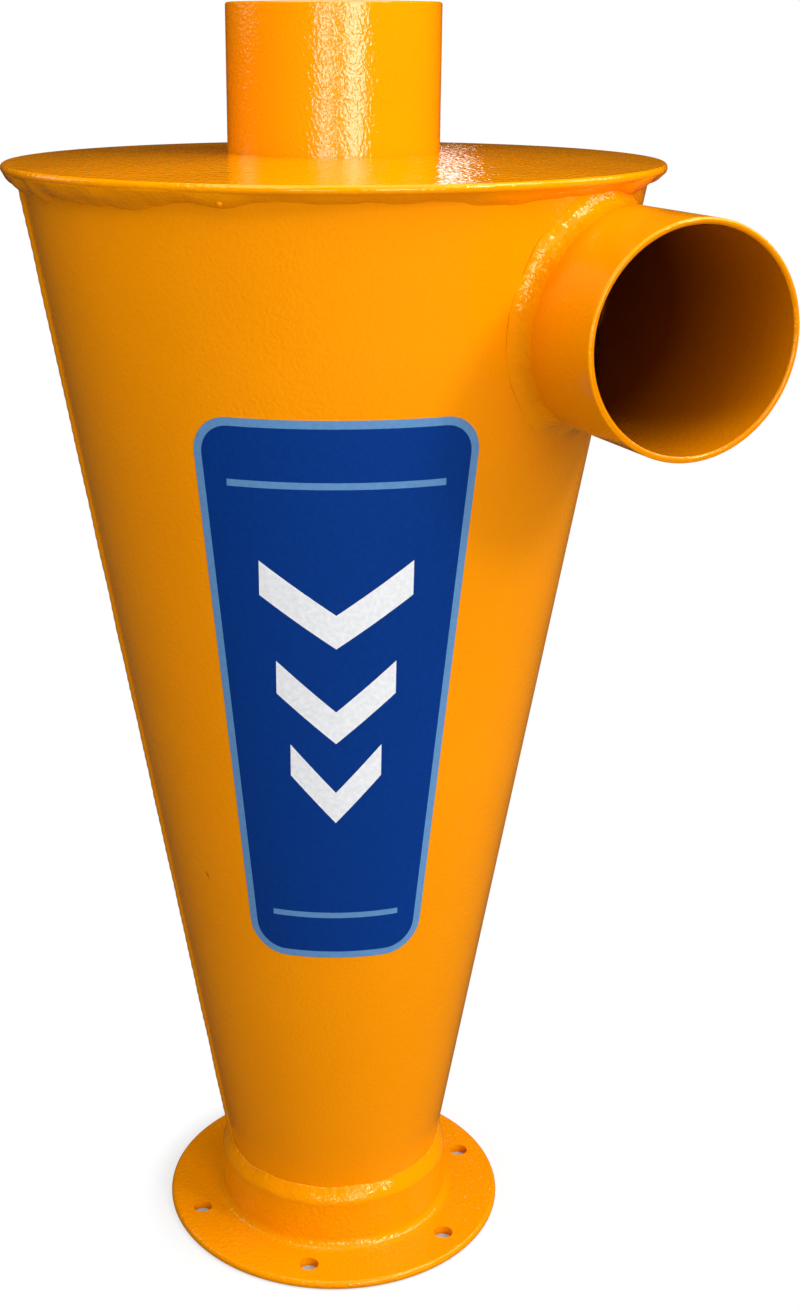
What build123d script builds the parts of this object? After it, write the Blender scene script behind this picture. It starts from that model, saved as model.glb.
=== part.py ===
from build123d import *
import math
import os

# Welded sheet-steel cyclone separator for a shop vacuum hose: a cone with a crowned lid,
# a tangential inlet, a centre outlet and a flanged collar that bolts to a dust drum.
# Millimetres, +Z up. The origin is the centre of the flange's underside, and the
# inlet points along -Y on the +X side of the body.

# Hose ports, both of one tube size
port_diameter = 50.8
tube_wall = 1.4
rim_bulge = 0.4
outlet_stand = 33.5
finder_below_inlet = 8.0
inlet_reach = 97.0
inlet_set_in = 2.4
inlet_headroom = 4.5
inlet_trim = 18.5
tube_fit = 0.15

# Lid, a disc with a slight crown
body_height = 289.7
lid_thickness = 1.9
lid_crown = 2.3
lid_overhang = 3.85
lid_edge_bulge = 0.6

# Cone, measured outside at the lid and at the top of the collar
cone_top_diameter = 150.3
cone_neck_diameter = 58.0
cone_sheet = 1.5
cone_insertion = 7.0

# Base flange and collar, formed from one disc
flange_diameter = 94.2
flange_thickness = 2.5
flange_edge_bulge = 0.9
flange_bend = 2.5
collar_height = 16.6
collar_fit = 0.4
bolt_circle = 79.4
bolt_hole_diameter = 5.2
bolt_count = 6
bolt_start_angle = -31.4

# Weld beads
lid_weld_leg = 3.1
outlet_weld_leg = 2.0
neck_weld_rise = 3.7
neck_weld_set_in = 0.3
inlet_weld_radius = 4.0
seam_width = 4.0
seam_proud = 0.7
seam_angle = -97.7
weld_bulge = 0.2

# Levels and radii that follow from the sizes above
port_radius = port_diameter / 2
cone_top_radius = cone_top_diameter / 2
cone_neck_radius = cone_neck_diameter / 2
lid_radius = cone_top_radius + lid_overhang
lid_sphere = (lid_radius**2 + lid_crown**2) / (2 * lid_crown)
lid_hole_radius = port_radius + tube_fit
inlet_height = body_height - lid_thickness - inlet_headroom - port_radius
finder_bottom = inlet_height - port_radius - finder_below_inlet
collar_inner = cone_neck_radius + collar_fit
collar_outer = collar_inner + flange_thickness
cone_bottom = collar_height - cone_insertion


def lid_top(radius):
    """Height of the crowned lid's upper face at a radius."""
    return body_height + lid_crown - lid_sphere + math.sqrt(lid_sphere**2 - radius**2)


def lid_under(radius):
    """Height of the lid's lower face at a radius."""
    return lid_top(radius) - lid_thickness


cone_top = lid_under(cone_top_radius)
cone_slope = (cone_top_radius - cone_neck_radius) / (cone_top - collar_height)
cone_tilt = math.atan(cone_slope)
outlet_top = lid_top(port_radius) + outlet_stand


def cone_radius(height, offset=0.0):
    """Radius of the cone's outer face, or of a face lying off it by a normal distance."""
    return cone_top_radius + (height - cone_top) * cone_slope + offset / math.cos(cone_tilt)


inlet_offset = cone_radius(inlet_height) - port_radius - inlet_set_in


def frustum(low, high, offset=0.0):
    """Solid cone between two levels, on the outer face or off it by a normal distance."""
    body = Cone(
        cone_radius(low, offset),
        cone_radius(high, offset),
        high - low,
        align=(Align.CENTER, Align.CENTER, Align.MIN),
    )
    return Pos(0, 0, low) * body


def upright_cylinder(radius, low, high):
    """Cylinder on the body's axis between two levels."""
    body = Cylinder(radius, high - low, align=(Align.CENTER, Align.CENTER, Align.MIN))
    return Pos(0, 0, low) * body


def inlet_cylinder(radius, stop=0.0):
    """Cylinder on the inlet's axis, from its mouth to a distance short of the plane of the body's axis."""
    body = Cylinder(radius, inlet_reach - stop, align=(Align.CENTER, Align.CENTER, Align.MIN))
    return Pos(inlet_offset, -stop, inlet_height) * Rot(X=90) * body


def turned(profile):
    """Solid of revolution about the body's axis from a closed outline in radius and height."""
    return revolve(Plane.XZ * make_face(profile), Axis.Z)


def bulged_edge(start, end, bulge):
    """Arc that rounds the edge of a sheet, standing out to the right of start to end."""
    along = Vector(*end) - Vector(*start)
    outward = Vector(along.Y, -along.X).normalized()
    crest = (Vector(*start) + Vector(*end)) / 2 + outward * bulge
    return ThreePointArc(start, crest, end)


def weld_ring(corner, foot, toe):
    """Ring bead that fills a corner, with a slightly convex face from foot to toe."""
    middle = (Vector(*foot) + Vector(*toe)) / 2
    crest = middle + (middle - Vector(*corner)).normalized() * weld_bulge
    return turned(Line(corner, foot) + ThreePointArc(foot, crest, toe) + Line(toe, corner))


def make_base_flange():
    """Flange and collar turned up out of one disc, with the bolt holes."""
    bend_radius = collar_outer + flange_bend
    bend_height = flange_thickness + flange_bend
    diagonal = math.sqrt(0.5)
    outer_bend = flange_bend + flange_thickness
    upper_bend = ThreePointArc(
        (bend_radius, flange_thickness),
        (bend_radius - flange_bend * diagonal, bend_height - flange_bend * diagonal),
        (collar_outer, bend_height),
    )
    lower_bend = ThreePointArc(
        (collar_inner, bend_height),
        (bend_radius - outer_bend * diagonal, bend_height - outer_bend * diagonal),
        (bend_radius, 0),
    )
    flange_radius = flange_diameter / 2
    edge_radius = flange_radius - flange_edge_bulge
    under = Line((bend_radius, 0), (edge_radius, 0))
    rim = bulged_edge((edge_radius, 0), (edge_radius, flange_thickness), flange_edge_bulge)
    top = Line((edge_radius, flange_thickness), (bend_radius, flange_thickness))
    wall = Polyline((collar_outer, bend_height), (collar_outer, collar_height), (collar_inner, collar_height))
    bore = Line((collar_inner, collar_height), (collar_inner, bend_height))
    body = turned(under + rim + top + upper_bend + wall + bore + lower_bend)
    hole = upright_cylinder(bolt_hole_diameter / 2, -flange_thickness, 2 * flange_thickness)
    for number in range(bolt_count):
        angle = math.radians(bolt_start_angle + 360 * number / bolt_count)
        place = Pos(bolt_circle / 2 * math.sin(angle), -bolt_circle / 2 * math.cos(angle), 0)
        body -= place * hole
    return body


def make_cone_shell():
    """Rolled cone, open at both ends, with the hole that takes the inlet tube."""
    shell = frustum(cone_bottom, cone_top) - frustum(cone_bottom, cone_top, -cone_sheet)
    return shell - inlet_cylinder(port_radius + tube_fit, inlet_trim - tube_fit)


def make_lid():
    """Crowned disc with a hole for the outlet tube and a rounded rim."""
    edge_radius = lid_radius - lid_edge_bulge
    radii = (lid_hole_radius, (lid_hole_radius + edge_radius) / 2, edge_radius)
    upper = ThreePointArc(*[(radius, lid_top(radius)) for radius in radii])
    lower = ThreePointArc(*[(radius, lid_under(radius)) for radius in radii])
    hole = Line((lid_hole_radius, lid_under(lid_hole_radius)), (lid_hole_radius, lid_top(lid_hole_radius)))
    edge = bulged_edge(
        (edge_radius, lid_under(edge_radius)), (edge_radius, lid_top(edge_radius)), lid_edge_bulge
    )
    return turned(upper + edge + lower + hole)


def port_tube(length):
    """Straight tube up the body's axis from the origin, with a rounded rim at its upper end."""
    bore_radius = port_radius - tube_wall
    shoulder = length - rim_bulge
    wall = Polyline((bore_radius, shoulder), (bore_radius, 0), (port_radius, 0), (port_radius, shoulder))
    rim = bulged_edge((port_radius, shoulder), (bore_radius, shoulder), rim_bulge)
    return turned(wall + rim)


def make_outlet_tube():
    """Tube through the lid, which reaches down inside as the vortex finder."""
    return Pos(0, 0, finder_bottom) * port_tube(outlet_top - finder_bottom)


def make_inlet_tube():
    """Tube that meets the body at a tangent, flush with the cone's inner face, its thin tip cut square."""
    tube = Pos(inlet_offset, -inlet_trim, inlet_height) * Rot(X=90) * port_tube(inlet_reach - inlet_trim)
    return tube - frustum(cone_bottom, cone_top, -cone_sheet)


def make_lid_weld():
    """Bead under the lid's overhang, all round the cone."""
    foot_radius = cone_top_radius + lid_weld_leg
    toe_height = cone_top - lid_weld_leg
    return weld_ring(
        (cone_top_radius, cone_top),
        (foot_radius, lid_under(foot_radius)),
        (cone_radius(toe_height), toe_height),
    )


def make_outlet_weld():
    """Bead round the outlet tube on the lid's hidden lower face."""
    foot_radius = port_radius + outlet_weld_leg
    corner_height = lid_under(port_radius)
    return weld_ring(
        (port_radius, corner_height),
        (foot_radius, lid_under(foot_radius)),
        (port_radius, corner_height - outlet_weld_leg),
    )


def make_neck_weld():
    """Bead on the collar's top edge that closes the gap to the cone."""
    toe_height = collar_height + neck_weld_rise
    return weld_ring(
        (cone_neck_radius, collar_height),
        (collar_outer - neck_weld_set_in, collar_height),
        (cone_radius(toe_height), toe_height),
    )


def make_inlet_weld(lid_weld):
    """Saddle fillet where the inlet tube runs into the cone, trimmed by the lid's bead."""
    low = inlet_height - 2 * port_diameter
    high = cone_top + port_diameter
    body = frustum(low, high)
    tube = inlet_cylinder(port_radius)
    joined = body + tube
    crossing = joined.edges().filter_by(GeomType.BSPLINE)
    bead = fillet(crossing, inlet_weld_radius) - body - tube
    return bead - upright_cylinder(lid_radius, cone_top, high) - lid_weld


def make_seam_weld():
    """Low bead down the cone's lengthwise seam, between the neck bead and the lid bead."""
    low = collar_height + neck_weld_rise
    high = cone_top - lid_weld_leg
    bead_radius = (seam_width**2 / 4 + seam_proud**2) / (2 * seam_proud)
    start = Vector(cone_radius(collar_height, seam_proud - bead_radius), 0, collar_height)
    end = Vector(cone_radius(cone_top, seam_proud - bead_radius), 0, cone_top)
    path = Plane(start, z_dir=end - start)
    bead = path * Cylinder(
        bead_radius, (end - start).length, align=(Align.CENTER, Align.CENTER, Align.MIN)
    )
    bead -= frustum(collar_height - port_diameter, cone_top + port_diameter)
    bead &= upright_cylinder(lid_radius, low, high)
    return Rot(Z=seam_angle - 90) * bead


lid_weld_solid = make_lid_weld()
pieces = {
    "base_flange": make_base_flange(),
    "neck_weld": make_neck_weld(),
    "cone_shell": make_cone_shell(),
    "cone_seam_weld": make_seam_weld(),
    "lid": make_lid(),
    "lid_weld": lid_weld_solid,
    "outlet_tube": make_outlet_tube(),
    "outlet_weld": make_outlet_weld(),
    "inlet_tube": make_inlet_tube(),
    "inlet_weld": make_inlet_weld(lid_weld_solid),
}

os.makedirs("parts", exist_ok=True)
for node, piece in pieces.items():
    export_step(piece, f"parts/{node}.step")
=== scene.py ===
import math

import bmesh
import bpy
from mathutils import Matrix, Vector, noise


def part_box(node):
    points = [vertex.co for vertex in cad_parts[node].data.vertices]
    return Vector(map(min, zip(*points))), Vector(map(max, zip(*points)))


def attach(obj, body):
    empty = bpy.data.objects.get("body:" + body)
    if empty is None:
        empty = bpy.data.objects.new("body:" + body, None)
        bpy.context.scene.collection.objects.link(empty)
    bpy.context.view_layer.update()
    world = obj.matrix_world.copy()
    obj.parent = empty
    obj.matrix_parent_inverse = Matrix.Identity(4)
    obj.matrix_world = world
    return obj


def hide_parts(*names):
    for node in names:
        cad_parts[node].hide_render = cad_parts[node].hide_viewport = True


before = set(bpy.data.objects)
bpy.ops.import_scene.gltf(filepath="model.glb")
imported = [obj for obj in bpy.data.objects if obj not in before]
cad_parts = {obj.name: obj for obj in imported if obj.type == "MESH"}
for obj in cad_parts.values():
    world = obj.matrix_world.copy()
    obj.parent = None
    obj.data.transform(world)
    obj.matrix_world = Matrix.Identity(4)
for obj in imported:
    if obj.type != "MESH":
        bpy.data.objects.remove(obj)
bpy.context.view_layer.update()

# Looks of a welded, powder-coated cyclone separator. Metres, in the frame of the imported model:
# the body's axis is Z, and the inlet points along -Y on the +X side. Angles round the body are
# degrees to the right of the camera's bearing, as the camera sees it.

MM = 0.001

# Camera, worked out from the outlines in the photograph
CAMERA_TURN = 21.66        # degrees from -Y towards -X
CAMERA_DISTANCE = 0.446    # from the body's axis
CAMERA_HEIGHT = 0.3182
CAMERA_PITCH = 19.05       # degrees below level
CAMERA_LENS = 49.42        # millimetres, as is the sensor
CAMERA_SENSOR = 36
CAMERA_SHIFT = 0.0507
CAMERA_NEAR = 0.01

# Powder coat. Scales are those of noise in the object's metres, so a larger one is finer.
COAT_COLOUR = (0.95, 0.3, 0.0)
COAT_ROUGHNESS = 0.11
COAT_GLOSS = 0.5
GLOSS_TINT = (1.0, 0.88, 0.5, 1)
OUTLET_TINT = (1.0, 0.94, 0.85, 1)
PEEL_SCALE = 1150
PEEL_DEPTH = 0.125 * MM
WAVE_SCALE = 40
WAVE_DEPTH = 0.25 * MM
CLOUD_SCALE = 22
CLOUD_RANGE = (0.965, 1.02)
SPECK_SCALE = 2600
SPECK_RANGE = (0.985, 1.01)
PATCH_SCALE = 45
PATCH_RANGE = (0.82, 1.36)    # times the roughness

# Painted shade on the inner faces, from none to full, and its places in the inlet as shares of the reach
PAINTED_SHADE_COLOURS = ((0.8, 0.25, 0.0, 1), (0.2, 0.036, 0.0, 1))
INLET_PAINTED_SHADE_START = 1.1
INLET_PAINTED_SHADE_FULL = 0.5

# Printed vinyl film
FILM_ROUGHNESS = 0.28
FILM_GLOSS = 0.15
FILM_PEEL_SCALE = PEEL_SCALE / 2
FILM_PEEL_DEPTH = PEEL_DEPTH / 3
INK_SCALE = 900
INK_RANGE = (0.93, 1.06)
LABEL_BLUE = (0.001, 0.034, 0.215)
LABEL_LIGHT = (0.11, 0.26, 0.5)
LABEL_WHITE = (0.8, 0.81, 0.83)

# Noise: the span that a texture mostly keeps to, and what brings uneven beads to about -1 to 1
TEXTURE_SPAN = (0.3, 0.7)
WANDER_GAIN = 1.7
LUMPS_PER_RADIUS = 6


# Sizes read from the frame

SAME_LEVEL = 0.05 * MM


def ring_radius(node, height):
    """Largest distance from the body's axis of a node's points near a height."""
    points = [v.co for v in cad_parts[node].data.vertices]
    return max(math.hypot(p.x, p.y) for p in points if abs(p.z - height) < SAME_LEVEL)


cone_low, cone_high = (corner.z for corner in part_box("cone_shell"))
cone_low_radius = ring_radius("cone_shell", cone_low)
cone_high_radius = ring_radius("cone_shell", cone_high)
cone_slope = (cone_high_radius - cone_low_radius) / (cone_high - cone_low)
cone_tilt = math.atan(cone_slope)
lid_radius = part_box("lid")[1].x
flange_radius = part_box("base_flange")[1].x
collar_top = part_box("base_flange")[1].z
collar_radius = ring_radius("base_flange", collar_top)
neck_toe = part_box("neck_weld")[1].z
lid_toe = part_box("lid_weld")[0].z
inlet_low, inlet_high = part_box("inlet_tube")
inlet_x = (inlet_low.x + inlet_high.x) / 2
inlet_z = (inlet_low.z + inlet_high.z) / 2
inlet_radius = (inlet_high.z - inlet_low.z) / 2
outlet_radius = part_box("outlet_tube")[1].x
outlet_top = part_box("outlet_tube")[1].z


def cone_radius(height, offset=0.0):
    """Radius of the cone's outer face, or of a face lying off it by a normal distance."""
    return cone_low_radius + (height - cone_low) * cone_slope + offset / math.cos(cone_tilt)


def around(angle, radius, height):
    """Point at an angle round the body, a distance from its axis and a height."""
    bearing = math.radians(angle - CAMERA_TURN)
    return Vector((radius * math.sin(bearing), -radius * math.cos(bearing), height))


def on_cone(angle, height, offset):
    """Point off the cone's outer face by a normal distance."""
    return around(angle, cone_radius(height, offset), height)


def spread(count, low=0.0, high=1.0):
    """Even values from low to high, both included."""
    return [low + (high - low) * i / (count - 1) for i in range(count)]


# Uneven values round a ring

def wander(angle, seed, lumps):
    """Smooth uneven value from -1 to 1 round a ring, with about so many lumps in a turn."""
    reach = lumps / LUMPS_PER_RADIUS
    turn = math.radians(angle)
    spot = Vector((reach * math.cos(turn), reach * math.sin(turn), seed))
    return max(-1.0, min(1.0, WANDER_GAIN * noise.noise(spot)))


def uneven(angle, waves):
    """Sum of uneven values round a ring, each a size, a seed and a number of lumps."""
    return sum(size * wander(angle, seed, lumps) for size, seed, lumps in waves)


def bump(angle, centre, width):
    """Round bump from 0 to 1 at an angle in degrees."""
    apart = (angle - centre + 180) % 360 - 180
    return math.exp(-(apart / width) ** 2)


def bumps(angle, places):
    """Sum of bumps, each an angle, a width in degrees and a size."""
    return sum(size * bump(angle, centre, width) for centre, width, size in places)


def stretch(angle, start, end, soft):
    """Value that is 1 between two angles in degrees and falls to 0 over a soft edge outside them."""
    apart = abs((angle - (start + end) / 2 + 180) % 360 - 180) - (end - start) / 2
    part = min(1.0, max(0.0, 1 - apart / soft))
    return part * part * (3 - 2 * part)


# Shader nodes

def add_node(tree, kind, inputs=None, **settings):
    """Node with the given properties and the given values on its inputs."""
    node = tree.nodes.new(kind)
    for key, value in settings.items():
        setattr(node, key, value)
    for key, value in (inputs or {}).items():
        node.inputs[key].default_value = value
    return node


def map_range(tree, value, source, target=(0.0, 1.0), **settings):
    """Value carried over from one span to another."""
    limits = {"From Min": source[0], "From Max": source[1], "To Min": target[0], "To Max": target[1]}
    carried = add_node(tree, "ShaderNodeMapRange", limits, **settings)
    tree.links.new(value, carried.inputs["Value"])
    return carried.outputs["Result"]


def noise_at(tree, coordinates, scale, detail=2.0):
    """Noise texture in the object's own metres."""
    texture = add_node(tree, "ShaderNodeTexNoise", {"Scale": scale, "Detail": detail})
    tree.links.new(coordinates.outputs["Object"], texture.inputs["Vector"])
    return texture.outputs["Fac"]


def multiply(tree, first, second):
    """Product of two values."""
    product = add_node(tree, "ShaderNodeMath", operation="MULTIPLY")
    tree.links.new(first, product.inputs[0])
    tree.links.new(second, product.inputs[1])
    return product.outputs[0]


def add_bumps(tree, coordinates, shader, layers):
    """Chain of bumps on a shader's normal, each a noise scale and a depth."""
    normal = None
    for scale, depth in layers:
        layer = add_node(tree, "ShaderNodeBump", {"Distance": depth})
        tree.links.new(noise_at(tree, coordinates, scale, detail=1.0), layer.inputs["Height"])
        if normal:
            tree.links.new(normal, layer.inputs["Normal"])
        normal = layer.outputs["Normal"]
    tree.links.new(normal, shader.inputs["Normal"])


def mix_shaders(tree, share, first, second):
    """Shader that goes from the first to the second as a share goes from 0 to 1."""
    mixed = add_node(tree, "ShaderNodeMixShader")
    tree.links.new(share, mixed.inputs[0])
    tree.links.new(first.outputs[0], mixed.inputs[1])
    tree.links.new(second.outputs[0], mixed.inputs[2])
    return mixed


def mix_by_ray(tree, seen, mirrored, lighting):
    """Shader that the camera, the object's gloss and all other light each find in their own form."""
    path = add_node(tree, "ShaderNodeLightPath")
    unseen = mix_shaders(tree, path.outputs["Is Glossy Ray"], lighting, mirrored)
    return mix_shaders(tree, path.outputs["Is Camera Ray"], unseen, seen)


# Materials

def new_material(name, roughness, gloss):
    """Principled material, with its node tree and shader."""
    material = bpy.data.materials.new(name)
    material.use_nodes = True
    tree = material.node_tree
    shader = tree.nodes["Principled BSDF"]
    shader.inputs["Roughness"].default_value = roughness
    shader.inputs["Specular IOR Level"].default_value = gloss
    return material, tree, shader


def painted_shade_colour(tree, coordinates, axis, start, full):
    """Coat darkened by painted shade along an axis, from where the shade starts to where it is full."""
    axes = add_node(tree, "ShaderNodeSeparateXYZ")
    tree.links.new(coordinates.outputs["Object"], axes.inputs[0])
    ramp = add_node(tree, "ShaderNodeValToRGB")
    for stop, colour in zip(ramp.color_ramp.elements, PAINTED_SHADE_COLOURS):
        stop.color = colour
    tree.links.new(map_range(tree, axes.outputs[axis], (start, full)), ramp.inputs["Fac"])
    return ramp.outputs["Color"]


def coat_material(name, fineness=1.0, depth=1.0, painted_shade=None,
                  roughness=COAT_ROUGHNESS, gloss=COAT_GLOSS, tint=GLOSS_TINT):
    """Glossy powder coat with orange peel, cloudy film thickness and fine specks.

    Fineness and depth are the peel's, times the usual ones. Painted shade, where given, is an axis and
    the places on it where that shade starts and where it is full.
    """
    material, tree, shader = new_material(name, roughness, gloss)
    shader.inputs["Specular Tint"].default_value = tint
    spot = add_node(tree, "ShaderNodeTexCoord")
    colour = add_node(tree, "ShaderNodeHueSaturation", {"Color": (*COAT_COLOUR, 1)})
    # painted shade: the base colour darkens along the axis, standing in for shade deep in the bores
    if painted_shade:
        tree.links.new(painted_shade_colour(tree, spot, *painted_shade), colour.inputs["Color"])
    cloud = map_range(tree, noise_at(tree, spot, CLOUD_SCALE), TEXTURE_SPAN, CLOUD_RANGE)
    specks = map_range(tree, noise_at(tree, spot, SPECK_SCALE, detail=0), TEXTURE_SPAN, SPECK_RANGE)
    tree.links.new(multiply(tree, cloud, specks), colour.inputs["Value"])
    tree.links.new(colour.outputs["Color"], shader.inputs["Base Color"])
    patch_limits = [share * roughness for share in PATCH_RANGE]
    patches = map_range(tree, noise_at(tree, spot, PATCH_SCALE), TEXTURE_SPAN, patch_limits)
    tree.links.new(patches, shader.inputs["Roughness"])
    peel = (fineness * PEEL_SCALE, depth * PEEL_DEPTH)
    add_bumps(tree, spot, shader, ((WAVE_SCALE, WAVE_DEPTH), peel))
    return material


def film_material(name, colour):
    """Printed vinyl film: its ink is faintly uneven and its surface follows the coat below."""
    material, tree, shader = new_material(name, FILM_ROUGHNESS, FILM_GLOSS)
    spot = add_node(tree, "ShaderNodeTexCoord")
    ink = add_node(tree, "ShaderNodeHueSaturation", {"Color": (*colour, 1)})
    shade = map_range(tree, noise_at(tree, spot, INK_SCALE), TEXTURE_SPAN, INK_RANGE)
    tree.links.new(shade, ink.inputs["Value"])
    tree.links.new(ink.outputs["Color"], shader.inputs["Base Color"])
    add_bumps(tree, spot, shader, ((FILM_PEEL_SCALE, FILM_PEEL_DEPTH),))
    return material


coat = coat_material("powder_coat")
weld_coat = coat_material("powder_coat_on_weld", fineness=0.9, depth=1.5, roughness=0.07, gloss=0.35)
saddle_coat = coat_material("powder_coat_on_saddle", fineness=0.8, depth=2.0, roughness=0.05)
lid_coat = coat_material("powder_coat_on_lid", fineness=0.6, depth=1.4, roughness=0.06)
outlet_coat = coat_material(
    "powder_coat_on_outlet", fineness=1.15, depth=1.05, roughness=0.07, gloss=0.75, tint=OUTLET_TINT
)
flange_coat = coat_material("powder_coat_on_flange", fineness=0.8, depth=2.0, roughness=0.04)
# Inner-face coats with painted shade that deepens into the inlet and the body; the body's one also
# colours the scratch
inlet_painted_shade = ("Y", INLET_PAINTED_SHADE_START * inlet_low.y, INLET_PAINTED_SHADE_FULL * inlet_low.y)
body_painted_shade = ("Z", outlet_top, cone_high)
inlet_painted_shade_coat = coat_material("powder_coat_in_inlet", painted_shade=inlet_painted_shade)
painted_shade_and_scratch_coat = coat_material("powder_coat_in_body", painted_shade=body_painted_shade)
label_blue = film_material("film_blue", LABEL_BLUE)
label_light = film_material("film_light_blue", LABEL_LIGHT)
label_white = film_material("film_white", LABEL_WHITE)


# Meshes

JOIN_DISTANCE = 0.001 * MM
FLAT_DISTANCE = 0.0005 * MM
CREASE_ANGLE = math.radians(40)


def grid_mesh(name, rows, materials, closed_rows=False, closed_columns=False, row_material=None):
    """Smooth mesh through rows of points, closed into a ring along its rows or columns where asked.

    Where given, row_material tells the number of the material that follows a row.
    """
    mesh = bpy.data.meshes.new(name)
    width = len(rows[0])
    bands = len(rows) if closed_rows else len(rows) - 1
    strips = width if closed_columns else width - 1
    faces = []
    indices = []
    for i in range(bands):
        below, above = i * width, (i + 1) % len(rows) * width
        for j in range(strips):
            k = (j + 1) % width
            faces.append((below + j, below + k, above + k, above + j))
            indices.append(row_material(i) if row_material else 0)
    mesh.from_pydata([point for row in rows for point in row], [], faces)
    mesh.polygons.foreach_set("use_smooth", [True] * len(faces))
    mesh.polygons.foreach_set("material_index", indices)
    for material in materials:
        mesh.materials.append(material)
    piece = bpy.data.objects.new(name, mesh)
    bpy.context.scene.collection.objects.link(piece)
    return piece


def tidy_mesh(piece):
    """Joins points that coincide, turns all faces outward and keeps the creases crisp."""
    shape = bmesh.new()
    shape.from_mesh(piece.data)
    bmesh.ops.remove_doubles(shape, verts=shape.verts, dist=JOIN_DISTANCE)
    bmesh.ops.dissolve_degenerate(shape, edges=shape.edges, dist=FLAT_DISTANCE)
    bmesh.ops.recalc_face_normals(shape, faces=shape.faces)
    for edge in shape.edges:
        edge.smooth = edge.calc_face_angle(0) < CREASE_ANGLE
    shape.to_mesh(piece.data)
    shape.free()


def dress(piece, slot, *nodes):
    """Fixes a piece to the part and hides the solids it stands for. Its slot is not used."""
    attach(piece, "root")
    if nodes:
        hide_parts(*nodes)


# Ring beads. Waves are a size, a seed and a number of lumps. Sags and lumps are an angle and a
# width in degrees, and a size in millimetres.

BEAD_STEPS = 1080
BEAD_ANGLES = [360 * step / BEAD_STEPS for step in range(BEAD_STEPS)]
BEAD_PROFILE = spread(15)
SUNK = 0.3 * MM               # how deep a bead's edges lie in the metal
TOE_SLIP = 0.2 * SUNK         # how far a sunk edge lies past the toe on the cone
FOOT_SLIP = 0.3 * SUNK        # and past the foot on the collar


def add_ring_bead(name, rows, material, node):
    """Bead closed into a ring, in place of its plain solid."""
    piece = grid_mesh(name, rows, [material], closed_rows=True)
    tidy_mesh(piece)
    dress(piece, "coated_weld", node)


# Lid's bead. Drop and swell are shares of the plain bead's leg, and reach is one of the overhang.
# The bead is full between some pairs of angles and hangs heavy between one, each with a soft edge.
LID_DROP = 0.62
LID_DROP_WAVES = ((0.14, 1.3, 45), (0.06, 4.1, 140))
LID_REACH = 0.62
LID_REACH_WAVES = ((0.04, 7.7, 36),)
LID_SWELL = 0.06
LID_SWELL_WAVES = ((0.07, 9.2, 60),)
LID_SWELL_OUT = 0.75
LID_SWELL_DOWN = 0.65
LID_FULL = ((-125, -67), (-59, -17), (60, 150), (180, 220))
LID_FULL_EDGE = 5
LID_FULL_DROP = 0.1
LID_FULL_REACH = 0.32
LID_FULL_SWELL = 0.13
LID_HEAVY = (-72, -36)
LID_HEAVY_EDGE = 16
LID_HEAVY_DROP = 0.42
LID_SAGS = (
    (-67, 4, 0.3), (-58.5, 2.2, 1.5), (-46, 6, 0.5), (-34.5, 4, 1.4), (-26, 3, -0.3), (-17.5, 3.6, 1.3),
    (9, 5, 0.25), (23.5, 3, 0.4), (30, 2, 0.3), (35, 16, 0.9), (62, 5, 0.8), (98, 4, 0.7),
    (131, 6, 1.0), (170, 4, 0.8), (212, 5, 1.1), (255, 5, 0.7),
)


def lid_bead_section(angle):
    """Reach under the lid, drop down the cone and swell of the lid's bead at an angle."""
    leg = cone_high - lid_toe
    overhang = lid_radius - cone_high_radius
    full = max(stretch(angle, start, end, LID_FULL_EDGE) for start, end in LID_FULL)
    heavy = stretch(angle, *LID_HEAVY, LID_HEAVY_EDGE)
    drop = LID_DROP + LID_HEAVY_DROP * heavy + LID_FULL_DROP * full + uneven(angle, LID_DROP_WAVES)
    reach = LID_REACH + LID_FULL_REACH * full + uneven(angle, LID_REACH_WAVES)
    swell = LID_SWELL + LID_FULL_SWELL * full + uneven(angle, LID_SWELL_WAVES)
    return overhang * reach, leg * drop + bumps(angle, LID_SAGS) * MM, leg * swell


def make_lid_weld():
    """Lumpy bead under the lid's overhang, with sags of metal and thick paint along its lower edge."""
    rows = []
    for angle in BEAD_ANGLES:
        reach, drop, swell = lid_bead_section(angle)
        foot = cone_high_radius + reach
        toe = cone_radius(cone_high - drop)
        row = [around(angle, foot, cone_high + SUNK)]
        for part in BEAD_PROFILE:
            lift = swell * math.sin(math.pi * part)
            radius = foot + (toe - foot) * part + LID_SWELL_OUT * lift
            row.append(around(angle, radius, cone_high - drop * part - LID_SWELL_DOWN * lift))
        row.append(around(angle, toe - SUNK, cone_high - drop - TOE_SLIP))
        rows.append(row)
    add_ring_bead("lid_weld_bead", rows, weld_coat, "lid_weld")


# Neck's bead. Its rise is a share of the plain bead's, and other sizes are millimetres.
NECK_RISE_WAVES = ((0.1, 2.2, 26), (0.04, 6.4, 120))
NECK_SAG = 0.6
NECK_SAG_WAVES = ((0.12, 8.8, 60),)
NECK_SAGS = (
    (-62, 8, 0.4), (-38, 7, 0.3), (-8, 10, 0.6), (12, 6, 0.6), (31, 2.5, -0.4),
    (75, 10, 0.4), (140, 12, 0.5), (215, 14, 0.6),
)
NECK_SWELL = 0.3
NECK_SWELL_PER_SAG = 0.3
NECK_SWELL_WAVES = ((0.15, 3.9, 34),)
NECK_CREST = 0.6
NECK_CREST_WAVES = ((0.25, 5.5, 50),)
NECK_FOOT_PROUD = 0.08


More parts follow.
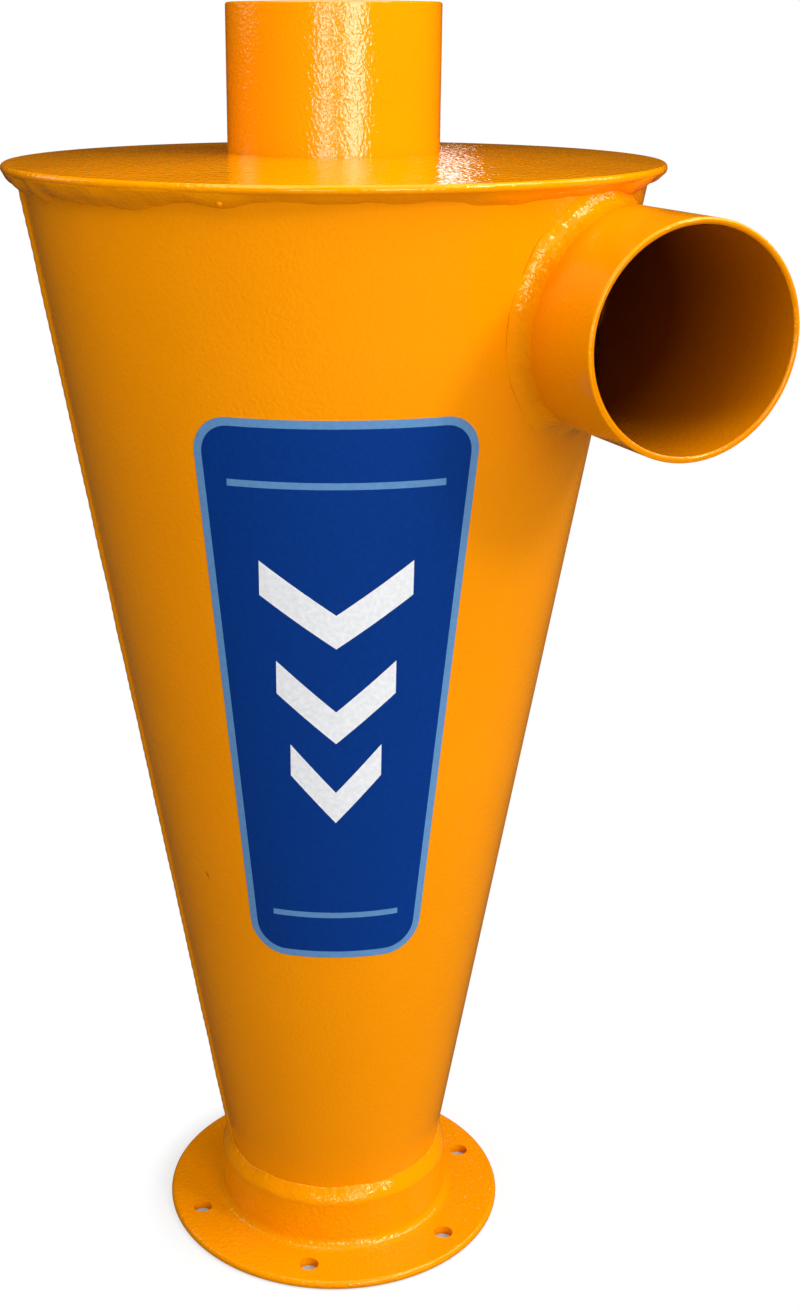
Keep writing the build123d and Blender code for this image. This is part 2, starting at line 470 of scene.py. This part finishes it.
def neck_bead_section(angle):
    """Upper edge, crest and lower edge of the neck's bead at an angle, each a radius and a height."""
    sags = bumps(angle, NECK_SAGS)
    top = collar_top + (neck_toe - collar_top) * (1 + uneven(angle, NECK_RISE_WAVES))
    swell = NECK_SWELL + NECK_SWELL_PER_SAG * sags + uneven(angle, NECK_SWELL_WAVES)
    crest = NECK_CREST + uneven(angle, NECK_CREST_WAVES)
    sag = NECK_SAG + sags + uneven(angle, NECK_SAG_WAVES)
    return (
        Vector((cone_radius(top), top)),
        Vector((collar_radius + swell * MM, collar_top + crest * MM)),
        Vector((collar_radius + NECK_FOOT_PROUD * MM, collar_top - sag * MM)),
    )


def make_neck_weld():
    """Rounded bead from the cone down over the collar's top edge, with an uneven lower edge."""
    rows = []
    for angle in BEAD_ANGLES:
        upper, crest, lower = neck_bead_section(angle)
        row = [around(angle, upper.x - SUNK, upper.y + TOE_SLIP)]
        for part in BEAD_PROFILE:
            place = upper.lerp(crest, part).lerp(crest.lerp(lower, part), part)
            row.append(around(angle, place.x, place.y))
        row.append(around(angle, lower.x - SUNK, lower.y - FOOT_SLIP))
        rows.append(row)
    add_ring_bead("neck_weld_bead", rows, weld_coat, "neck_weld")


# Saddle bead. Its angles go round the inlet from its outer side, over the top.
SADDLE_SIZE = 3.4 * MM
SADDLE_SIZE_WAVES = ((0.1, 3.1, 18), (0.02, 8.3, 60))
SADDLE_LUMPS = ((236, 10, 0.9), (262, 8, 0.6), (118, 8, 0.4), (140, 6, 0.3), (205, 14, 0.25))
SADDLE_FILL = 0.08            # share of the size by which the hollow is filled
SADDLE_FILL_WAVES = ((0.03, 5.7, 40), (0.008, 1.9, 150))
SADDLE_HEADROOM = 0.2 * MM


def saddle_section(angle):
    """Ball that touches cone and inlet at an angle round the inlet: centre, size and ways to both."""
    turn = math.radians(angle)
    size = SADDLE_SIZE * (1 + uneven(angle, SADDLE_SIZE_WAVES)) + bumps(angle, SADDLE_LUMPS) * MM
    reach = inlet_radius + size
    ball_x = inlet_x + reach * math.cos(turn)
    ball_z = inlet_z + reach * math.sin(turn)
    ball_radius = cone_radius(ball_z, size)
    ball_y = -math.sqrt(max(ball_radius**2 - ball_x**2, 0))
    outward = Vector((ball_x, ball_y, 0)).normalized() * math.cos(cone_tilt)
    outward.z = -math.sin(cone_tilt)
    to_tube = -Vector((math.cos(turn), 0, math.sin(turn)))
    return Vector((ball_x, ball_y, ball_z)), size, -outward, to_tube


def make_inlet_weld():
    """Wide concave bead that runs the inlet into the cone, rippled and uneven along its length."""
    ceiling = cone_high - SADDLE_HEADROOM
    rows = []
    for angle in BEAD_ANGLES:
        ball, size, to_cone, to_tube = saddle_section(angle)
        fill = SADDLE_FILL + uneven(angle, SADDLE_FILL_WAVES)
        row = [ball + to_cone * (size + SUNK)]
        for part in BEAD_PROFILE:
            across = to_cone.lerp(to_tube, part).normalized()
            chord = (to_cone * size).lerp(to_tube * size, part).length
            hollow = size * (1 - fill * math.sin(math.pi * part))
            row.append(ball + across * max(chord, hollow))
        row.append(ball + to_tube * (size + SUNK))
        rows.append([Vector((p.x, p.y, min(p.z, ceiling))) for p in row])
    add_ring_bead("inlet_weld_bead", rows, saddle_coat, "inlet_weld")


# Seam bead. Waves along it are a size, the length of a lump in millimetres and two seeds.
SEAM_ANGLE = -76.04
SEAM_WIDTH = 4.0 * MM
SEAM_WIDTH_WAVES = (0.1, 9, 8.0, 4.0)
SEAM_PROUD = 0.7 * MM
SEAM_PROUD_WAVES = (0.15, 12, 5.0, 7.0)
SEAM_DRIFT_WAVES = (0.3 * MM, 24, 0.4, 2.0)
SEAM_RIPPLE = 0.07
SEAM_RIPPLE_RATE = 2.3        # radians in a millimetre
SEAM_RIPPLE_WAVES = (2, 7, 3.0, 1.0)
SEAM_SUNK = 0.1 * MM
SEAM_LAP_LOW = 1.5 * MM       # how far it runs under the beads at its ends
SEAM_LAP_HIGH = 2 * MM
SEAM_STEPS = 520
SEAM_PROFILE = spread(13, -1, 1)


def along_seam(place, size, length, *seeds):
    """Smooth uneven value at a place along the seam, in millimetres."""
    return size * noise.noise(Vector((place / length, *seeds)))


def make_seam_weld():
    """Low bead down the cone's lengthwise seam, faintly rippled."""
    rows = []
    for height in spread(SEAM_STEPS, neck_toe - SEAM_LAP_LOW, lid_toe + SEAM_LAP_HIGH):
        place = height / MM
        drift = along_seam(place, *SEAM_DRIFT_WAVES)
        phase = place * SEAM_RIPPLE_RATE + along_seam(place, *SEAM_RIPPLE_WAVES)
        ripple = SEAM_RIPPLE * math.sin(phase)
        proud = SEAM_PROUD * (1 + ripple + along_seam(place, *SEAM_PROUD_WAVES))
        half_width = SEAM_WIDTH / 2 * (1 + along_seam(place, *SEAM_WIDTH_WAVES))
        row = []
        for part in SEAM_PROFILE:
            angle = SEAM_ANGLE + math.degrees((half_width * part + drift) / cone_radius(height))
            sunk = SEAM_SUNK if abs(part) == 1 else 0
            row.append(on_cone(angle, height, proud * (1 - part * part) - sunk))
        rows.append(row)
    piece = grid_mesh("seam_weld_bead", rows, [weld_coat])
    dress(piece, "coated_weld", "cone_seam_weld")


# Label, a printed film on the cone's front. Half angles are degrees either side of its middle line.
LABEL_TURN = 0.6
LABEL_HALF_ANGLE = 28.6
LABEL_LOW = 98 * MM
LABEL_HIGH = 240 * MM
LABEL_CORNER = 9 * MM
LABEL_SPINE_INSET = 2 * LABEL_CORNER
LABEL_BORDER = 1.9 * MM
LABEL_BORDER_ROWS = 2
LABEL_LIFT = 0.1 * MM
LABEL_SUNK = 0.05 * MM
LABEL_LOOPS = 16
SIDE_POINTS = 60
END_POINTS = 40
CORNER_POINTS = 14


def label_corner(side, end, level, radius, angles):
    """Round corner at a side and an end, each 1 or -1, as points of label_outline."""
    points = []
    for angle in angles:
        shift = side * radius * (math.cos(angle) - 1)
        points.append((side, shift, level + end * radius * math.sin(angle)))
    return points


def label_outline(inset):
    """Closed outline of the label drawn in by a distance, from the right side over the top and round.

    Each point starts as a share of the label's half width, a shift across and a height, and is
    returned as a distance round the cone and a height.
    """
    radius = LABEL_CORNER - inset
    low, high = LABEL_LOW + inset, LABEL_HIGH - inset
    side_low, side_high = low + radius, high - radius
    arc = spread(CORNER_POINTS, 0, math.pi / 2)
    points = [(1, 0, height) for height in spread(SIDE_POINTS, side_low, side_high)]
    points += label_corner(1, 1, side_high, radius, arc[1:])
    points += [(share, -radius * share, high) for share in spread(END_POINTS, 1, -1)[1:]]
    points += label_corner(-1, 1, side_high, radius, reversed(arc[:-1]))
    points += [(-1, 0, height) for height in spread(SIDE_POINTS, side_high, side_low)[1:]]
    points += label_corner(-1, -1, side_low, radius, arc[1:])
    points += [(share, -radius * share, low) for share in spread(END_POINTS, -1, 1)[1:]]
    points += label_corner(1, -1, side_low, radius, reversed(arc[1:-1]))
    outline = []
    for share, shift, height in points:
        reach = math.radians(LABEL_HALF_ANGLE) * cone_radius(height) - inset
        outline.append((share * reach + shift, height))
    return outline


def on_label(along, height, lift):
    """Point on the label at a distance round the cone from its middle line."""
    angle = LABEL_TURN + math.degrees(along / cone_radius(height))
    return on_cone(angle, height, lift)


def label_material(row):
    """Number of the label's material after a row of its mesh: the border's, then the ground's."""
    return 0 if row < LABEL_BORDER_ROWS else 1


def make_label():
    """Film with a pale border, laid on the cone and sealed at its edge."""
    edge, inner = label_outline(0), label_outline(LABEL_BORDER)
    loops = []
    for lift in (-LABEL_SUNK, LABEL_LIFT):
        loops.append([on_label(along, height, lift) for along, height in edge])
    spine_low = LABEL_LOW + LABEL_SPINE_INSET
    spine_high = LABEL_HIGH - LABEL_SPINE_INSET
    for share in spread(LABEL_LOOPS):
        loop = []
        for along, height in inner:
            spine = min(max(height, spine_low), spine_high)
            loop.append(on_label(along * (1 - share), height + (spine - height) * share, LABEL_LIFT))
        loops.append(loop)
    films = [label_light, label_blue]
    piece = grid_mesh("label_film", loops, films, closed_columns=True, row_material=label_material)
    tidy_mesh(piece)
    dress(piece, "powder_coat")


# Print on the label: stripes by name, height and half angle, chevrons by height and half angle
INK_LIFT = 0.02 * MM
STRIPES = (("label_stripe_top", 225 * MM, 22), ("label_stripe_bottom", 111 * MM, 20))
STRIPE_THICKNESS = 1.6 * MM
CHEVRONS = ((196 * MM, 17), (171 * MM, 14.5), (149 * MM, 12))
CHEVRON_THICKNESS = 8.5 * MM
CHEVRON_DIP = 13 * MM
BAND_ACROSS = spread(4, 0.5, -0.5)
BAND_ALONG = spread(81, -1, 1)


def make_band(name, middle, half_angle, thickness, dip, material):
    """Printed stripe across the label, straight or bent down in the middle as a chevron."""
    reach = math.radians(half_angle) * cone_radius(middle)
    rows = []
    for part in BAND_ACROSS:
        row = []
        for share in BAND_ALONG:
            height = middle + dip * (abs(share) - 0.5) + part * thickness
            row.append(on_label(share * reach, height, LABEL_LIFT + INK_LIFT))
        rows.append(row)
    dress(grid_mesh(name, rows, [material]), "powder_coat")


def make_label_print():
    """Plain stripes near both ends of the label, and chevrons that get smaller down it."""
    for name, middle, half_angle in STRIPES:
        make_band(name, middle, half_angle, STRIPE_THICKNESS, 0, label_light)
    for number, (middle, half_angle) in enumerate(CHEVRONS, start=1):
        name = f"label_chevron_{number}"
        make_band(name, middle, half_angle, CHEVRON_THICKNESS, CHEVRON_DIP, label_white)


# Scratch, which leans by some degrees from its top to its end
SCRATCH_TOP = 117.2 * MM
SCRATCH_LENGTH = 1.9 * MM
SCRATCH_HALF_WIDTH = 0.16 * MM
SCRATCH_ANGLE = -44.7
SCRATCH_LEAN = 0.9
SCRATCH_BLUNT = 0.06          # share of a half sine that is cut off at both ends
SCRATCH_LIFT = 0.02 * MM
SCRATCH_STEPS = 9

# Drop of paint, placed out from the cone's top edge and down
DROP_ANGLE = -17.5
DROP_OUT = 1.6 * MM
DROP_DOWN = 2.1 * MM
DROP_RADIUS = 0.75 * MM
DROP_HALF_HEIGHT = 0.85 * MM
DROP_ROWS = 11
DROP_COLUMNS = 20


def make_scratch():
    """Short shallow scratch on the cone's lower left, darker than the coat."""
    rows = []
    for part in spread(SCRATCH_STEPS):
        height = SCRATCH_TOP - SCRATCH_LENGTH * part
        taper = math.sin(math.pi * (SCRATCH_BLUNT + (1 - 2 * SCRATCH_BLUNT) * part))
        angle = SCRATCH_ANGLE + SCRATCH_LEAN * part
        reach = math.degrees(SCRATCH_HALF_WIDTH * taper / cone_radius(height))
        rows.append([on_cone(angle + side * reach, height, SCRATCH_LIFT) for side in (1, 0, -1)])
    # The scratch takes the dark end of the body's painted-shade coat as its own colour
    dress(grid_mesh("scratch", rows, [painted_shade_and_scratch_coat]), "powder_coat")


def make_drop():
    """Round drop of paint that hangs on the lid's bead."""
    middle = around(DROP_ANGLE, cone_high_radius + DROP_OUT, cone_high - DROP_DOWN)
    rows = []
    for tilt in spread(DROP_ROWS, -math.pi / 2, math.pi / 2):
        radius = DROP_RADIUS * math.cos(tilt)
        rise = DROP_HALF_HEIGHT * math.sin(tilt)
        turns = [2 * math.pi * step / DROP_COLUMNS for step in range(DROP_COLUMNS)]
        rows.append([middle + Vector((radius * math.cos(t), radius * math.sin(t), rise)) for t in turns])
    piece = grid_mesh("paint_drop", rows, [weld_coat], closed_columns=True)
    tidy_mesh(piece)
    dress(piece, "coated_weld")


# Coats of the solids

INNER_DEPTH = 0.5 * MM
OUTER_COATS = {
    "base_flange": flange_coat,
    "lid": lid_coat,
    "outlet_weld": weld_coat,
    "outlet_tube": outlet_coat,
}


def is_inside(node, spot):
    """Tells whether a place on a solid lies on an inner face, which gets painted shade."""
    across = math.hypot(spot.x, spot.y)
    if node == "inlet_tube":
        return math.hypot(spot.x - inlet_x, spot.z - inlet_z) < inlet_radius - INNER_DEPTH
    if node == "outlet_tube":
        return across < outlet_radius - INNER_DEPTH
    if node == "cone_shell":
        return across < cone_radius(spot.z) - INNER_DEPTH
    return node == "outlet_weld"


def coat_solid(node, piece):
    """Gives a solid its outer coat, and the one with painted shade on its inner faces."""
    piece.data.materials.clear()
    piece.data.materials.append(OUTER_COATS.get(node, coat))
    piece.data.materials.append(inlet_painted_shade_coat if node == "inlet_tube" else painted_shade_and_scratch_coat)
    for face in piece.data.polygons:
        face.material_index = int(is_inside(node, face.center))


# Stage, lights and camera

PAGE_STRENGTH = 1.0           # white to the camera
FILL_STRENGTH = 0.37          # even light on the object
ROOM_STRENGTH = 0.006         # what the object's gloss shows
FLOOR_REACH = 3.0
FLOOR_GREY = 0.3
FLOOR_GREY_IN_GLOSS = 0.04
SHADOW_LIFT = (0.14, 0.66)    # glow of the floor under the flange and at its edge
SHADOW_EDGE = 3 * MM
SHADOW_FADE = 9 * MM

# Softboxes: name, angle, rise above level in degrees, distance from the aim, width, height, radiance
LIGHT_AIM = Vector((0, 0, 0.2))
SOFTBOXES = (
    ("key", 21, 10, 0.9, 0.28, 0.4, 7.7),
    ("front_left", -8, 8, 0.8, 0.2, 0.15, 7.8),
    ("crown", -30, 52, 0.36, 0.16, 0.12, 4.4),
    ("front_high", 25, 38, 0.7, 0.3, 0.3, 1.0),
    ("right_front", 51, 32, 1.0, 0.16, 0.16, 36.0),
    ("right", 70, 48, 1.2, 0.5, 0.5, 7.8),
    ("side", 100, 32, 1.2, 0.5, 0.5, 3.6),
    ("left", -105, 25, 0.7, 0.29, 0.29, 1.5),
    ("top", 0, 86, 0.5, 0.4, 0.4, 1.8),
    ("rear", 175, 15, 1.2, 0.04, 0.07, 5.0),
)


def grey(level):
    """Neutral colour of a level."""
    return (level, level, level, 1)


def floor_near_object(tree, matt):
    """Floor by the object with a glow that thins its shadow, and the share of plain page further out."""
    spot = add_node(tree, "ShaderNodeTexCoord")
    length = add_node(tree, "ShaderNodeVectorMath", operation="LENGTH")
    tree.links.new(spot.outputs["Object"], length.inputs[0])
    distance = length.outputs["Value"]
    glow = add_node(tree, "ShaderNodeEmission")
    under = (flange_radius - SHADOW_EDGE, flange_radius)
    tree.links.new(map_range(tree, distance, under, SHADOW_LIFT), glow.inputs["Strength"])
    near = add_node(tree, "ShaderNodeAddShader")
    tree.links.new(matt.outputs[0], near.inputs[0])
    tree.links.new(glow.outputs[0], near.inputs[1])
    beyond = (flange_radius, flange_radius + SHADOW_FADE)
    return near, map_range(tree, distance, beyond, interpolation_type="SMOOTHSTEP")


def make_floor():
    """Pale floor that is white to the camera away from the object and keeps its soft shadow close by."""
    material = bpy.data.materials.new("floor")
    material.use_nodes = True
    tree = material.node_tree
    tree.nodes.clear()
    matt = add_node(tree, "ShaderNodeBsdfDiffuse", {"Color": grey(FLOOR_GREY)})
    dark = add_node(tree, "ShaderNodeBsdfDiffuse", {"Color": grey(FLOOR_GREY_IN_GLOSS)})
    page = add_node(tree, "ShaderNodeEmission", {"Strength": PAGE_STRENGTH})
    near, fade = floor_near_object(tree, matt)
    surface = mix_by_ray(tree, mix_shaders(tree, fade, near, page), dark, matt)
    output = add_node(tree, "ShaderNodeOutputMaterial")
    tree.links.new(surface.outputs[0], output.inputs["Surface"])
    ends = (-FLOOR_REACH, FLOOR_REACH)
    rows = [[Vector((x, y, 0)) for x in ends] for y in ends]
    grid_mesh("floor", rows, [material])


def make_world():
    """White page to the camera, a dim room in the gloss, and a soft even fill for the object."""
    world = bpy.data.worlds.new("studio")
    bpy.context.scene.world = world
    world.use_nodes = True
    tree = world.node_tree
    tree.nodes.clear()
    page, room, fill = (
        add_node(tree, "ShaderNodeBackground", {"Color": grey(1), "Strength": strength})
        for strength in (PAGE_STRENGTH, ROOM_STRENGTH, FILL_STRENGTH)
    )
    output = add_node(tree, "ShaderNodeOutputWorld")
    tree.links.new(mix_by_ray(tree, page, room, fill).outputs[0], output.inputs["Surface"])


def add_softbox(name, angle, rise, distance, width, height, radiance):
    """Softbox at an angle and a rise above level, turned to the object, of a set brightness."""
    lamp = bpy.data.lights.new(name, "AREA")
    lamp.shape = "RECTANGLE"
    lamp.size = width
    lamp.size_y = height
    lamp.energy = radiance * math.pi * width * height
    piece = bpy.data.objects.new(name, lamp)
    level = distance * math.cos(math.radians(rise))
    piece.location = LIGHT_AIM + around(angle, level, distance * math.sin(math.radians(rise)))
    piece.rotation_euler = (LIGHT_AIM - piece.location).to_track_quat("-Z", "Y").to_euler()
    piece.visible_camera = False
    bpy.context.scene.collection.objects.link(piece)


def make_camera():
    """Camera at the photograph's viewing angle."""
    lens = bpy.data.cameras.new("camera")
    lens.lens = CAMERA_LENS
    lens.sensor_width = CAMERA_SENSOR
    lens.shift_x = CAMERA_SHIFT
    lens.clip_start = CAMERA_NEAR
    piece = bpy.data.objects.new("camera", lens)
    piece.location = around(0, CAMERA_DISTANCE, CAMERA_HEIGHT)
    piece.rotation_euler = (math.radians(90 - CAMERA_PITCH), 0, math.radians(-CAMERA_TURN))
    bpy.context.scene.collection.objects.link(piece)
    bpy.context.scene.camera = piece


make_scratch()
make_drop()
make_lid_weld()
make_neck_weld()
make_inlet_weld()
make_seam_weld()
make_label()
make_label_print()
for node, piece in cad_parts.items():
    coat_solid(node, piece)
make_floor()
make_world()
for softbox in SOFTBOXES:
    add_softbox(*softbox)
make_camera()
bpy.context.scene.view_settings.view_transform = "Standard"
